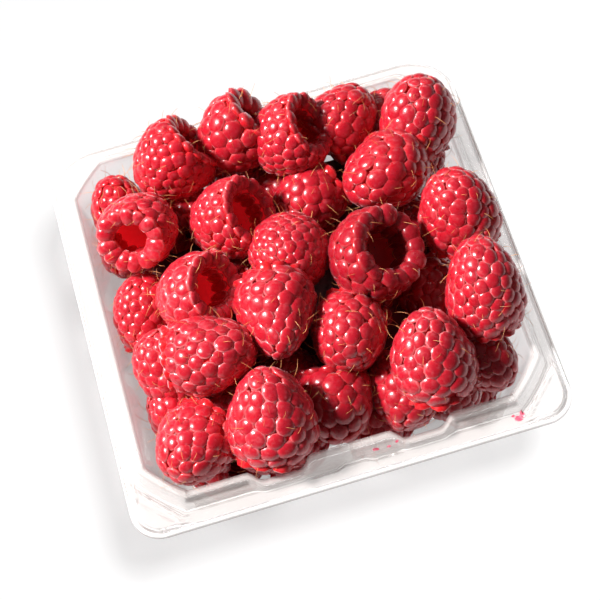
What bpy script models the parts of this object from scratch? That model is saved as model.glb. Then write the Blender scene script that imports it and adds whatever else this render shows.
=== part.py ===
"""A clear plastic punnet heaped with raspberries.

The punnet is one sheet of thermoformed plastic: a flat flange with a turned-down
edge, a raised rim with two vent notches in its front run, walls that lean in, and
a flat floor with a low stiffening rib.  The raspberries are one solid: a packed
core that follows the punnet's inside, joined with the berries of the upper layers.

Units are metres, +Z is up.  The origin is the centre of the floor's underside, and
+X runs along the front edge.
"""

import math

import bmesh
import bpy
from mathutils import Vector

MM = 0.001

# ---- Punnet -----------------------------------------------------------------
FLANGE_X = 122.0 * MM          # flange, side to side
FLANGE_Y = 118.4 * MM          # flange, front to back
FLANGE_Z = 36.0 * MM           # top face of the flange above the floor's underside
RIM_RISE = 3.5 * MM            # raised rim above the flange
SHEET = 0.6 * MM               # plastic sheet
LIP_DROP = 1.4 * MM            # turned-down edge of the flange
FRONT_CORNER = 8.5 * MM        # flange corner radii
BACK_CORNER = 14.0 * MM
RIB_RISE = 1.0 * MM            # stiffening rib of the floor

NOTCH_X = 19.5 * MM            # centre of each vent notch, left and right of the middle
NOTCH_HALF = 6.8 * MM          # from the notch's centre to the middle of its slope
NOTCH_SLOPE = 4.4 * MM         # length of the S-shaped slope
NOTCH_DIP = 0.8 * MM           # how much lower the rim runs in a notch

CORNER_STEPS = 6               # segments round each corner
SIDE_STEPS = 3                 # segments along a straight side
SLOPE_STEPS = 4                # segments along each notch slope

PAD_INSET = 1.3 * MM           # triangular stacking pads, in from the flange's edge
PAD_REACH = 13.2 * MM          # from the flange's edge to the middle of a pad's far tip
PAD_TIP = 1.6 * MM             # radius of the far tips
PAD_RISE = 0.8 * MM
PAD_SLOPE = 0.4 * MM           # how far a pad's sides lean in

# ---- Raspberries ------------------------------------------------------------
GAP = 0.4 * MM                 # clearance between the fruit and the plastic
CORE_FLOOR = 2.4 * MM
CORE_TOP = 38.0 * MM
HEADROOM = 30.0 * MM           # space above the rim that the heap may use
OVERHANG = 6.0 * MM            # space beyond the flange that the heap may use
BERRY_SEGMENTS = 12
BERRY_RINGS = 8
BERRY_TAPER = 0.20             # how much narrower a berry is towards its tip

# Upper layers, berry by berry, from the back row to the front row, in millimetres
# and degrees: centre x, y, z, length, width, then the tip's heading and its rise.
BERRIES = (
    (-25, 42, 46, 22, 22, -162, -30),
    (-6, 44.5, 46, 21, 21, -165, -36),
    (8, 39, 47, 22, 22, 168, -40),
    (26, 43, 42, 21, 19, 30, 10),
    (38, 44, 33, 19, 18, 30, 35),
    (46, 35, 47, 23, 21, 65, 58),
    (-43, 41, 33, 18, 17, 90, 50),
    (-7, 42, 29, 20, 20, -140, 20),
    (43, 31, 31, 20, 19, -65, -10),
    (-43, 30, 29, 20, 18, -140, -15),
    (-38, 25, 46, 21, 21, 62, -42),
    (4, 32, 28, 20, 20, -70, 15),
    (31, 20.5, 46, 24, 22, -150, 20),
    (-14, 20, 45, 22, 22, 160, -42),
    (9, 23, 38, 20, 19, -155, -5),
    (47, 3, 47, 24, 21, 95, 56),
    (-43, 6, 34, 21, 18, 80, 45),
    (-29, 1.2, 46, 22, 21.5, 155, -44),
    (-1, 3.8, 47, 20, 22, -110, 45),
    (20, -3, 46, 22, 25, 158, -55),
    (-41, -12, 35, 21, 19, 115, 40),
    (-9, -13.8, 49, 24.5, 18.5, -98, 10),
    (35, -13, 29, 21, 20, -85, 20),
    (46, -22, 49, 27.5, 20.5, 85, 48),
    (-28.5, -18, 48, 24.5, 21, -15, 14),
    (-42, -24, 28, 20, 18, 125, 40),
    (-27, -25, 29, 20, 20, 20, 30),
    (-11, -26, 31, 21, 20, 35, 35),
    (8, -22.5, 44, 20, 21, -110, 30),
    (27, -35, 47, 25, 20, 95, 50),
    (-40, -38.3, 39, 21, 20, -135, 10),
    (-18, -38, 46, 26, 21.5, 75, 52),
    (0, -37, 34, 21, 20, -100, -15),
    (19, -38.5, 32, 21, 20, -95, 5),
    (31, -38.5, 26, 20, 19, -85, 25),
    (42, -36, 34, 20, 18, -65, 0),
)


class Section:
    """One level of the punnet's sheet: how far in from the flange's edge it runs."""

    def __init__(self, z, side, front, back, leg, rounding, notch=0.0, dip=0.0, back_leg=None):
        self.z = z
        self.side = side
        self.front = front
        self.back = back
        self.leg = leg                       # length cut off each side at a corner
        self.back_leg = leg if back_leg is None else back_leg
        self.rounding = rounding             # 0 is a straight chamfer, 1 a full arc
        self.notch = notch                   # how far the notches stand out
        self.dip = dip                       # how far the notches drop

    def grown(self, gap):
        """The same level moved inwards by a clearance."""
        return Section(self.z, self.side + gap, self.front + gap, self.back + gap,
                       self.leg, self.rounding)


def smooth_step(t):
    t = min(max(t, 0.0), 1.0)
    return t * t * (3.0 - 2.0 * t)


def notch_share(x):
    """1 inside a vent notch, 0 outside, with a smooth slope between."""
    off = abs(abs(x) - NOTCH_X)
    return 1.0 - smooth_step((off - NOTCH_HALF + NOTCH_SLOPE / 2) / NOTCH_SLOPE)


def front_stations(reach):
    """Places along the front run, closer together on the notches' slopes."""
    stations = [-reach]
    for centre in (-NOTCH_X, NOTCH_X):
        for slope in (centre - NOTCH_HALF, centre + NOTCH_HALF):
            for step in range(SLOPE_STEPS + 1):
                stations.append(slope + NOTCH_SLOPE * (step / SLOPE_STEPS - 0.5))
    stations.append(reach)
    return stations


def corner_points(corner, from_dir, to_dir, leg, rounding):
    """Points round a corner, from the incoming side to the outgoing side."""
    start = corner + from_dir * leg
    end = corner + to_dir * leg
    centre = corner + (from_dir + to_dir) * leg
    points = []
    for step in range(CORNER_STEPS + 1):
        t = step / CORNER_STEPS
        turn = t * math.pi / 2
        arc = centre - to_dir * leg * math.cos(turn) - from_dir * leg * math.sin(turn)
        straight = start.lerp(end, t)
        points.append(straight.lerp(arc, rounding))
    return points


def outline(section):
    """The closed outline of a section, anticlockwise from the front left corner."""
    left = -FLANGE_X / 2 + section.side
    right = FLANGE_X / 2 - section.side
    front = -FLANGE_Y / 2 + section.front
    back = FLANGE_Y / 2 - section.back
    east, north = Vector((1, 0, 0)), Vector((0, 1, 0))
    leg, back_leg = section.leg, section.back_leg

    points = corner_points(Vector((left, front, 0)), north, east, leg, section.rounding)
    for x in front_stations(right - leg)[1:-1]:
        points.append(Vector((x, front, 0)))
    points += corner_points(Vector((right, front, 0)), -east, north, leg, section.rounding)
    points += side_points(points[-1], Vector((right, back - back_leg, 0)))
    points += corner_points(Vector((right, back, 0)), -north, -east, back_leg, section.rounding)
    points += side_points(points[-1], Vector((left + back_leg, back, 0)))
    points += corner_points(Vector((left, back, 0)), east, -north, back_leg, section.rounding)
    points += side_points(points[-1], Vector((left, front + leg, 0)))

    for point in points:
        share = notch_share(point.x) if abs(point.y - front) < 1e-7 else 0.0
        point.y -= section.notch * share
        point.z = section.z - section.dip * share
    return points


def side_points(start, end):
    """Evenly spaced points between two corners, without the corners' own points."""
    return [start.lerp(end, step / SIDE_STEPS) for step in range(1, SIDE_STEPS)]


def punnet_sections():
    """The sheet's upper and inner face, from the flange's lip to the floor."""
    top = FLANGE_Z + RIM_RISE
    lip = FLANGE_Z - LIP_DROP
    edge = {"leg": FRONT_CORNER, "back_leg": BACK_CORNER, "rounding": 1.0}
    return [
        Section(lip, 0.0, 0.0, 0.0, **edge),
        Section(FLANGE_Z - 0.4 * MM, 0.15 * MM, 0.15 * MM, 0.15 * MM, **edge),
        Section(FLANGE_Z, 0.6 * MM, 0.6 * MM, 0.6 * MM, **edge),
        Section(FLANGE_Z, 3.8 * MM, 5.0 * MM, 3.6 * MM, 11 * MM, 0.15, notch=1.1 * MM),
        Section(top - 0.7 * MM, 4.8 * MM, 6.9 * MM, 4.6 * MM, 10.5 * MM, 0.15, 2.6 * MM, NOTCH_DIP),
        Section(top, 5.6 * MM, 7.7 * MM, 5.4 * MM, 10 * MM, 0.15, 2.9 * MM, NOTCH_DIP),
        Section(top, 6.9 * MM, 9.1 * MM, 6.6 * MM, 9.5 * MM, 0.15, 3.0 * MM, NOTCH_DIP),
        Section(top - 0.8 * MM, 7.6 * MM, 9.9 * MM, 7.2 * MM, 9 * MM, 0.15, 3.0 * MM, NOTCH_DIP),
        Section(34 * MM, 8.2 * MM, 10.5 * MM, 7.8 * MM, 9 * MM, 0.2, 2.6 * MM),
        Section(27 * MM, 9.1 * MM, 11.3 * MM, 8.8 * MM, 9 * MM, 0.35, 1.0 * MM),
        Section(20 * MM, 10.0 * MM, 12.1 * MM, 9.8 * MM, 9 * MM, 0.5),
        Section(6 * MM, 11.9 * MM, 13.9 * MM, 11.7 * MM, 9 * MM, 0.8),
        Section(2.4 * MM, 13.0 * MM, 15.0 * MM, 12.8 * MM, 9 * MM, 1.0),
        Section(1.0 * MM, 14.6 * MM, 16.6 * MM, 14.4 * MM, 9 * MM, 1.0),
        Section(SHEET, 16.6 * MM, 18.6 * MM, 16.4 * MM, 9 * MM, 1.0),
        Section(SHEET, 19.0 * MM, 21.0 * MM, 18.8 * MM, 8 * MM, 1.0),
        Section(SHEET + RIB_RISE, 20.2 * MM, 22.2 * MM, 20.0 * MM, 8 * MM, 1.0),
        Section(SHEET + RIB_RISE, 22.2 * MM, 24.2 * MM, 22.0 * MM, 7 * MM, 1.0),
        Section(SHEET, 23.4 * MM, 25.4 * MM, 23.2 * MM, 7 * MM, 1.0),
    ]


def loft(bm, sections):
    """Join the outlines of the sections with a skin of quads; returns the rings."""
    rings = [[bm.verts.new(point) for point in outline(section)] for section in sections]
    for outer, inner in zip(rings, rings[1:]):
        bridge(bm, outer, inner)
    return rings


def bridge(bm, outer, inner):
    count = len(outer)
    for i in range(count):
        j = (i + 1) % count
        bm.faces.new((outer[i], outer[j], inner[j], inner[i]))


def new_object(name, bm, collection, material=None):
    bmesh.ops.remove_doubles(bm, verts=bm.verts, dist=1e-6)
    mesh = bpy.data.meshes.new(name)
    bm.to_mesh(mesh)
    bm.free()
    obj = bpy.data.objects.new(name, mesh)
    collection.objects.link(obj)
    if material is not None:
        mesh.materials.append(material)
    return obj


def make_material(name, colour, roughness, transmission=0.0):
    material = bpy.data.materials.new(name)
    material.use_nodes = True
    shader = material.node_tree.nodes["Principled BSDF"]
    shader.inputs["Base Color"].default_value = (*colour, 1.0)
    shader.inputs["Roughness"].default_value = roughness
    shader.inputs["Transmission Weight"].default_value = transmission
    return material


def make_cutter(name, bm, collection):
    cutter = new_object(name, bm, collection)
    cutter.hide_render = True
    cutter.display_type = "WIRE"
    return cutter


def add_boolean(obj, operation, cutter=None, collection=None):
    modifier = obj.modifiers.new(operation.lower(), "BOOLEAN")
    modifier.operation = operation
    modifier.solver = "EXACT"
    if collection is not None:
        modifier.operand_type = "COLLECTION"
        modifier.collection = collection
    else:
        modifier.object = cutter


def shade_by_angle(obj, degrees):
    obj.data.shade_smooth()
    obj.data.set_sharp_from_angle(angle=math.radians(degrees))


def quarter_points(centre, radius, first_turn, turn_span, steps):
    """Points on an arc about a centre, in the plane of the flange."""
    turns = [first_turn + turn_span * step / steps for step in range(steps + 1)]
    return [centre + Vector((math.cos(turn), math.sin(turn), 0)) * radius for turn in turns]


def pad_outline(shrink):
    """A front left pad seen from the flange's corner: a quarter arc and two small tips."""
    far = PAD_INSET + PAD_TIP
    round_centre = Vector((FRONT_CORNER, FRONT_CORNER, 0))
    points = quarter_points(round_centre, FRONT_CORNER - PAD_INSET - shrink, math.pi, math.pi / 2, 5)
    for tip in (Vector((PAD_REACH, far, 0)), Vector((far, PAD_REACH, 0))):
        points += quarter_points(tip, PAD_TIP - shrink, 0.0, 1.75 * math.pi, 7)
    return points


def pad_cutter(side, collection):
    """A low triangular pad that stands on the flange in a front corner."""
    bm = bmesh.new()
    for z, shrink in ((FLANGE_Z - SHEET / 2, 0.0), (FLANGE_Z + PAD_RISE, PAD_SLOPE)):
        for point in pad_outline(shrink):
            x = side * (FLANGE_X / 2 - point.x)
            bm.verts.new((x, point.y - FLANGE_Y / 2, z))
    bmesh.ops.convex_hull(bm, input=bm.verts)
    inner = [vert for vert in bm.verts if not vert.link_faces]
    bmesh.ops.delete(bm, geom=inner, context="VERTS")
    return make_cutter("pad", bm, collection)


def build_punnet(parts, cutters):
    bm = bmesh.new()
    rings = loft(bm, punnet_sections())
    bm.faces.new(rings[-1])
    punnet = new_object("punnet", bm, parts,
                        make_material("clear_plastic", (0.86, 0.84, 0.83), 0.12, 0.8))
    solidify = punnet.modifiers.new("sheet", "SOLIDIFY")
    solidify.thickness = SHEET
    solidify.offset = -1.0
    solidify.use_even_offset = True
    for side in (-1, 1):
        add_boolean(punnet, "UNION", pad_cutter(side, cutters))
    shade_by_angle(punnet, 30)
    return punnet


def berry_mesh(x, y, z, length, width, heading, rise):
    """One berry: a rounded cone, wider at its open end, with its tip turned as told."""
    bm = bmesh.new()
    made = bmesh.ops.create_uvsphere(bm, u_segments=BERRY_SEGMENTS, v_segments=BERRY_RINGS, radius=1.0)
    heading, rise = math.radians(heading), math.radians(rise)
    tip = Vector((math.cos(heading) * math.cos(rise), math.sin(heading) * math.cos(rise), math.sin(rise)))
    turn = tip.to_track_quat("Z", "Y")
    centre = Vector((x, y, z)) * MM
    for vert in made["verts"]:
        along = vert.co.z
        across = (width / 2) * (1.0 - BERRY_TAPER * along)
        shaped = Vector((vert.co.x * across, vert.co.y * across, along * length / 2)) * MM
        vert.co = centre + turn @ shaped
    return bm


def fruit_solid(sections):
    """A closed solid that follows the punnet's inside, with a level top and bottom."""
    bm = bmesh.new()
    rings = loft(bm, sections)
    bm.faces.new(rings[-1])
    bm.faces.new(reversed(rings[0]))
    bmesh.ops.recalc_face_normals(bm, faces=bm.faces)
    return bm


def inside_levels():
    """The punnet's inner levels from the mouth to the floor, moved in by the clearance."""
    mouth, *wall = [section.grown(GAP) for section in punnet_sections()[7:12]]
    floor = wall[-1].grown(2.5 * MM)
    floor.z = CORE_FLOOR
    return mouth, wall, floor


def build_raspberries(parts, cutters):
    mouth, wall, floor = inside_levels()
    core_wall = [level.grown(0.1 * MM) for level in wall]
    top = core_wall[0].grown(1.0 * MM)
    top.z = CORE_TOP
    core_floor = floor.grown(0.1 * MM)
    core_floor.z = CORE_FLOOR + 0.1 * MM
    heap = new_object("raspberries", fruit_solid([top, *core_wall, core_floor]), parts,
                      make_material("raspberry", (0.60, 0.02, 0.04), 0.35))

    rim_z = FLANGE_Z + RIM_RISE + GAP
    mouth.z = rim_z
    spread = punnet_sections()[0].grown(-OVERHANG)
    ceiling = punnet_sections()[0].grown(-OVERHANG)
    spread.z = rim_z + GAP
    ceiling.z = rim_z + HEADROOM
    room = make_cutter("room_for_fruit", fruit_solid([ceiling, spread, mouth, *wall, floor]), cutters)

    berries = bpy.data.collections.new("berries")
    cutters.children.link(berries)
    for berry in BERRIES:
        make_cutter("berry", berry_mesh(*berry), berries)
    add_boolean(heap, "UNION", collection=berries)
    add_boolean(heap, "INTERSECT", room)
    shade_by_angle(heap, 50)
    return heap


def clear_scene():
    for obj in list(bpy.data.objects):
        bpy.data.objects.remove(obj, do_unlink=True)


def main():
    clear_scene()
    parts = bpy.data.collections.new("punnet_of_raspberries")
    cutters = bpy.data.collections.new("cutters")
    for collection in (parts, cutters):
        bpy.context.scene.collection.children.link(collection)
    build_punnet(parts, cutters)
    build_raspberries(parts, cutters)


main()
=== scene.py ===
"""The finished look of a clear plastic punnet heaped with fresh raspberries.

Lengths named in millimetres are turned to metres with MM.  +Z is up, +X runs along the
punnet's front edge, and the origin is the centre of the floor's underside.
"""

import logging
import math
from collections.abc import Callable, Iterable
from dataclasses import astuple, dataclass, field
from enum import Enum

import bmesh
import bpy
import numpy as np
from mathutils import Matrix, Vector


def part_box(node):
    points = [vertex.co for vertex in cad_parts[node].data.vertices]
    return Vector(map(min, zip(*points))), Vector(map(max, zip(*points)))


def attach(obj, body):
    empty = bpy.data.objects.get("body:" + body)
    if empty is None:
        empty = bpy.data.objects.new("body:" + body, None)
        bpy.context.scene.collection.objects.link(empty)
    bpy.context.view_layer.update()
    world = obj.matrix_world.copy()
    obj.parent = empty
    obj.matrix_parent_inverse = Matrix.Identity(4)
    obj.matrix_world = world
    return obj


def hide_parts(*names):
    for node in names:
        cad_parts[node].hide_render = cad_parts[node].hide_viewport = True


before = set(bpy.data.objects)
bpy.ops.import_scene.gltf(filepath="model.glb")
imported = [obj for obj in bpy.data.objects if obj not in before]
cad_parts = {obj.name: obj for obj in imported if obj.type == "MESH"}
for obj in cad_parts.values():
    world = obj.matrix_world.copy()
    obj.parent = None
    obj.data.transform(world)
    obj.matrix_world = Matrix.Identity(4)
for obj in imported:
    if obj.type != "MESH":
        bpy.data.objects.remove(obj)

MM = 0.001
FLANGE_TOP = 36.0 * MM
LOG = logging.getLogger("punnet_of_raspberries")
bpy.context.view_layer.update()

Socket = bpy.types.NodeSocket
Faces = list[tuple[int, ...]]


class Slot(Enum):
    """The material slots' names."""

    PLASTIC = "clear_plastic"
    BERRY = "raspberry"
    HAIR = "raspberry_hair"
    JUICE = "juice"


# ---------------------------------------------------------------------------
# Small helpers
# ---------------------------------------------------------------------------

def linear(hex_colour: str) -> tuple[float, float, float, float]:
    """Turn an sRGB hex colour to linear RGBA.

    Args:
        hex_colour: Six hex digits, with or without a leading #.

    Returns:
        Linear red, green, blue and an alpha of 1.
    """
    digits = hex_colour.lstrip("#")
    channels = [int(digits[i:i + 2], 16) / 255.0 for i in (0, 2, 4)]
    straight = [c / 12.92 if c <= 0.04045 else ((c + 0.055) / 1.055) ** 2.4 for c in channels]
    return (*straight, 1.0)


def smooth_step(value: np.ndarray | float) -> np.ndarray | float:
    """An S-shaped rise from 0 to 1 as the value goes from 0 to 1."""
    t = np.clip(value, 0.0, 1.0)
    return t * t * (3.0 - 2.0 * t)


def window(value: np.ndarray, centre: float, half: float, slope: float) -> np.ndarray:
    """1 within half of the centre, 0 outside, with S-shaped slopes between."""
    return 1.0 - smooth_step((np.abs(value - centre) - half + slope / 2) / slope)


def deselect() -> None:
    """Leave object mode with nothing selected."""
    if bpy.context.object and bpy.context.object.mode != "OBJECT":
        bpy.ops.object.mode_set(mode="OBJECT")
    bpy.ops.object.select_all(action="DESELECT")


def named(name: str) -> bpy.types.Object:
    """Give the primitive just added its name, and its mesh the same one."""
    obj = bpy.context.object
    obj.name = name
    obj.data.name = name
    return obj


def add_object(name: str, data: bpy.types.ID) -> bpy.types.Object:
    """Put a mesh, a lamp or a camera in the scene as an object."""
    obj = bpy.data.objects.new(name, data)
    bpy.context.scene.collection.objects.link(obj)
    return obj


def laid_out(name: str, points: np.ndarray, faces: Faces) -> bpy.types.Object:
    """A smooth object from points in millimetres and the faces that join them."""
    mesh = bpy.data.meshes.new(name)
    mesh.from_pydata((points * MM).tolist(), [], faces)
    mesh.shade_smooth()
    return add_object(name, mesh)


def read_points(mesh: bpy.types.Mesh) -> np.ndarray:
    """The vertices of a mesh as an array of rows."""
    flat = np.empty(len(mesh.vertices) * 3)
    mesh.vertices.foreach_get("co", flat)
    return flat.reshape(-1, 3)


def write_points(mesh: bpy.types.Mesh, points: np.ndarray) -> None:
    """Move the vertices of a mesh to the rows of an array."""
    mesh.vertices.foreach_set("co", np.ascontiguousarray(points, float).ravel())
    mesh.update()


def take_apart(obj: bpy.types.Object) -> tuple[np.ndarray, Faces]:
    """Read an object's points and faces, and remove it."""
    points = read_points(obj.data)
    faces = [tuple(face.vertices) for face in obj.data.polygons]
    bpy.data.objects.remove(obj)
    return points, faces


def cut_corners(rows: np.ndarray, times: int) -> np.ndarray:
    """Round a path by cutting a quarter off both ends of each of its steps.

    Args:
        rows: The path's points, one a row.
        times: How many times to cut.

    Returns:
        The rounded path, with its two ends kept.
    """
    for _ in range(times):
        near = rows[:-1] * 0.75 + rows[1:] * 0.25
        far = rows[:-1] * 0.25 + rows[1:] * 0.75
        middle = np.stack([near, far], axis=1).reshape(-1, rows.shape[1])
        rows = np.concatenate([rows[:1], middle, rows[-1:]])
    return rows


def follow(path: np.ndarray, run: np.ndarray, here: np.ndarray | float) -> list[np.ndarray]:
    """Each column of a path at distances along it, where run holds its rows' distances."""
    return [np.interp(here, run, column) for column in path.T]


def smooth_shaded(obj: bpy.types.Object, degrees: float | None = None) -> None:
    """Shade an object smooth, with creases past an angle where one is given."""
    deselect()
    obj.select_set(True)
    bpy.context.view_layer.objects.active = obj
    if degrees is None:
        bpy.ops.object.shade_smooth()
    else:
        bpy.ops.object.shade_smooth_by_angle(angle=math.radians(degrees))


def dress(obj: bpy.types.Object, material: bpy.types.Material, node: str) -> None:
    """Give a finished piece its material, its body and the CAD node it stands for.

    Args:
        obj: The piece, with its place in its mesh.
        material: What the piece is made of.
        node: The CAD node that the piece replaces.
    """
    obj.data.materials.append(material)
    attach(obj, "root")
    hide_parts(node)
    obj.data.calc_loop_triangles()
    LOG.info("%s: %d triangles", obj.name, len(obj.data.loop_triangles))


# ---------------------------------------------------------------------------
# Materials
# ---------------------------------------------------------------------------

class Nodes:
    """Adds nodes to one shader tree."""

    def __init__(self, tree: bpy.types.NodeTree) -> None:
        """Keep the tree that the nodes go in."""
        self.tree = tree

    def add(self, kind: str, settings: dict | None = None,
            links: dict | None = None) -> bpy.types.Node:
        """Add a node with its settings and links.

        Args:
            kind: The node's type name.
            settings: Values for its input sockets, by name or number, or for its own properties.
            links: Output sockets to join to its inputs, by input name or number.

        Returns:
            The new node.
        """
        node = self.tree.nodes.new(kind)
        for key, value in (settings or {}).items():
            if isinstance(key, int) or key in node.inputs:
                node.inputs[key].default_value = value
            else:
                setattr(node, key, value)
        self.wire(node, links or {})
        return node

    def wire(self, node: bpy.types.Node, links: dict) -> None:
        """Join output sockets to a node's inputs, by input name or number."""
        for key, socket in links.items():
            self.tree.links.new(socket, node.inputs[key])

    def ramp(self, source: Socket, *stops: tuple[float, str]) -> Socket:
        """Run a value through a colour ramp with an sRGB hex colour at each place."""
        node = self.add("ShaderNodeValToRGB", links={"Fac": source})
        elements = node.color_ramp.elements
        while len(elements) < len(stops):
            elements.new(0.5)
        for element, (place, colour) in zip(elements, stops):
            element.position = place
            element.color = linear(colour)
        return node.outputs["Color"]

    def place(self) -> Socket:
        """The object's own coordinates."""
        return self.add("ShaderNodeTexCoord").outputs["Object"]

    def noise(self, size_mm: float, detail: float = 2.0) -> Socket:
        """Noise on the object's own coordinates, with features of a real size."""
        node = self.add("ShaderNodeTexNoise", {"Scale": 1.0 / (size_mm * MM), "Detail": detail},
                        {"Vector": self.place()})
        return node.outputs["Fac"]

    def mixed(self, share: Socket, first: Socket, second: Socket | str) -> Socket:
        """Mix two colours; the second may be an sRGB hex colour."""
        node = self.add("ShaderNodeMix", {"data_type": "RGBA"}, {0: share, 6: first})
        if isinstance(second, str):
            node.inputs[7].default_value = linear(second)
        else:
            self.wire(node, {7: second})
        return node.outputs[2]

    def ranged(self, source: Socket, low: float, high: float,
               start: float = 0.0, end: float = 1.0) -> Socket:
        """Turn a value's run from start to end to one from low to high, clamped."""
        node = self.add("ShaderNodeMapRange",
                        {"From Min": start, "From Max": end, "To Min": low, "To Max": high},
                        {"Value": source})
        return node.outputs["Result"]

    def tinted(self, colour: Socket, other: Socket | str, source: Socket, share: float = 1.0,
               start: float = 0.0, end: float = 1.0) -> Socket:
        """Blend towards another colour, by up to a share as the source runs from start to end."""
        return self.mixed(self.ranged(source, 0.0, share, start, end), colour, other)

    def channels(self, name: str) -> tuple[Socket, Socket, Socket, Socket]:
        """The red, green, blue and alpha of a colour attribute."""
        skin = self.add("ShaderNodeAttribute", {"attribute_name": name})
        parts = self.add("ShaderNodeSeparateColor", links={"Color": skin.outputs["Color"]})
        return (*parts.outputs[:3], skin.outputs["Alpha"])


class Finish(Nodes):
    """A material that is being made: a Principled shader and the nodes that feed it."""

    def __init__(self, name: str) -> None:
        """Start a material with a lone Principled shader."""
        self.material = bpy.data.materials.new(name)
        self.material.use_nodes = True
        super().__init__(self.material.node_tree)
        self.shader = self.tree.nodes["Principled BSDF"]

    def set(self, values: dict) -> None:
        """Give the shader's inputs their values, by name."""
        for name, value in values.items():
            self.shader.inputs[name].default_value = value

    def bump(self, size_mm: float, strength: float, depth_mm: float, detail: float = 2.0) -> None:
        """Roughen the surface with fine relief of a real size."""
        relief = self.add("ShaderNodeBump", {"Strength": strength, "Distance": depth_mm * MM},
                          {"Height": self.noise(size_mm, detail)})
        self.wire(self.shader, {"Normal": relief.outputs["Normal"]})


@dataclass(frozen=True)
class BerrySkin:
    """Ripe raspberry skin: thin, juicy and downy.

    The creases are painted a glowing red, painted light in place of the light that comes back
    through the flesh.  Each drupelet gets a crisp highlight, and on a downy berry its rim is
    painted pale pink, a painted sheen of the down catching the light.
    """

    # Painted light: the glowing red painted into the creases, where light would come back through the
    # flesh.
    painted_glow: str = "#E21A22"
    flank: str = "#CC1224"
    top: str = "#B81A2C"
    # Painted sheen: the pale pink painted round each drupelet's rim on downy berries; also the colour of
    # random pale flecks.
    rim: str = "#F88E92"
    bloom: str = "#C62838"
    dark: str = "#6E0818"
    down: str = "#FFC4C8"
    roughness: float = 0.27
    ior: float = 1.45
    patch_mm: float = 6.0
    mottle_mm: float = 1.6
    fuzz_mm: float = 1.2
    pore_mm: float = 1.0

    def make(self) -> bpy.types.Material:
        """Build the material from the skin attribute: height, drupelet tone, ripeness, bloom."""
        finish = Finish("raspberry_skin")
        height, tone, ripe, bloom = finish.channels("skin")
        # Painted light: the lowest part of each dome, in the creases, is painted a glowing red.
        bare = finish.ramp(height, (0.0, self.painted_glow), (0.4, self.flank), (1.0, self.top))
        # Painted sheen: on a downy berry a pale pink band is painted just above the creases, round each
        # rim.
        downy = finish.ramp(height, (0.0, self.painted_glow), (0.10, self.rim), (0.30, self.bloom),
                            (1.0, self.top))
        patch = finish.ranged(finish.noise(self.patch_mm), -0.35, 0.35)
        amount = finish.add("ShaderNodeMath", {"operation": "ADD", "use_clamp": True},
                            {0: bloom, 1: patch})
        colour = finish.mixed(amount.outputs[0], bare, downy)
        colour = finish.tinted(colour, self.rim, finish.noise(self.fuzz_mm), 0.22, 0.5, 0.75)
        colour = finish.tinted(colour, self.flank, tone, 0.5)
        colour = finish.tinted(colour, self.dark, tone, 0.22, 0.7, 1.0)
        colour = finish.tinted(colour, self.dark, ripe, 0.8)
        gloss = finish.ranged(finish.noise(self.mottle_mm), self.roughness - 0.08,
                              self.roughness + 0.12)
        finish.wire(finish.shader, {"Base Color": colour, "Roughness": gloss})
        finish.bump(self.pore_mm, 0.5, 0.12)
        finish.set({
            "IOR": self.ior, "Subsurface Weight": 0.2, "Subsurface Radius": (1.0, 0.18, 0.12),
            "Subsurface Scale": 2.0 * MM, "Coat Weight": 0.25, "Coat Roughness": 0.10,
            "Sheen Weight": 0.4, "Sheen Roughness": 0.3, "Sheen Tint": linear(self.down)})
        return finish.material


@dataclass(frozen=True)
class BerryFlesh:
    """The inside of a picked raspberry: bare velvety flesh, a brighter red, without shine.

    The flesh glows a warm red by emission, painted light in place of light that comes through
    the thin wall, and fades to unlit deeper in the hollow, a painted shade.  It has dark flecks
    where the seeds lie.
    """

    lip: str = "#F4202A"
    deep: str = "#E01822"
    streak: str = "#EE3440"
    dark: str = "#7E0812"
    seed: str = "#3A0810"
    velvet: str = "#FFB0B4"
    unlit: str = "#000000"
    streak_mm: float = 1.2
    seed_mm: float = 2.4
    grain_mm: float = 0.6
    # Strength of the flesh's emission, painted light in place of light coming through the thin wall.
    through_light: float = 0.42

    def make(self) -> bpy.types.Material:
        """Build the material from the skin attribute's height, which is the depth here."""
        finish = Finish("raspberry_flesh")
        depth, _, ripe, _ = finish.channels("skin")
        colour = finish.ramp(depth, (0.0, self.deep), (1.0, self.lip))
        colour = finish.tinted(colour, self.streak, finish.noise(self.streak_mm), 0.3, 0.5, 0.8)
        colour = finish.tinted(colour, self.dark, ripe, 0.7)
        dots = finish.add("ShaderNodeTexVoronoi", {"Scale": 1 / (self.seed_mm * MM)},
                          {"Vector": finish.place()})
        fleck = finish.ranged(dots.outputs["Distance"], 1.0, 0.0, 0.06, 0.10)
        colour = finish.mixed(fleck, colour, self.seed)
        # Painted light: the flesh gives off its own red as emission, fading to unlit deeper in the
        # hollow, a painted shade, and on riper berries.
        painted_glow = finish.mixed(finish.ranged(depth, 0.65, 0.0), colour, self.unlit)
        painted_glow = finish.tinted(painted_glow, self.unlit, ripe, 0.9, 0.0, 0.2)
        finish.wire(finish.shader, {"Base Color": colour, "Emission Color": painted_glow})
        finish.set({
            "Emission Strength": self.through_light, "Roughness": 0.5,
            "Subsurface Weight": 0.2, "Subsurface Radius": (1.0, 0.15, 0.1),
            "Subsurface Scale": 3.0 * MM, "Sheen Weight": 0.3, "Sheen Tint": linear(self.velvet)})
        finish.bump(self.grain_mm, 0.25, 0.1)
        return finish.material


@dataclass(frozen=True)
class PaintedHeapShade:
    """Painted shade deep in the heap: a dark maroon, seen only behind the berries, in place of the shaded
    fruit further in.
    """

    light: str = "#6A0A14"
    dark: str = "#3E060C"

    def make(self) -> bpy.types.Material:
        """Build the material."""
        finish = Finish("raspberry_painted_shade")
        colour = finish.ramp(finish.noise(4.0), (0.3, self.dark), (0.7, self.light))
        finish.wire(finish.shader, {"Base Color": colour})
        finish.set({"Roughness": 0.6})
        return finish.material


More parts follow.
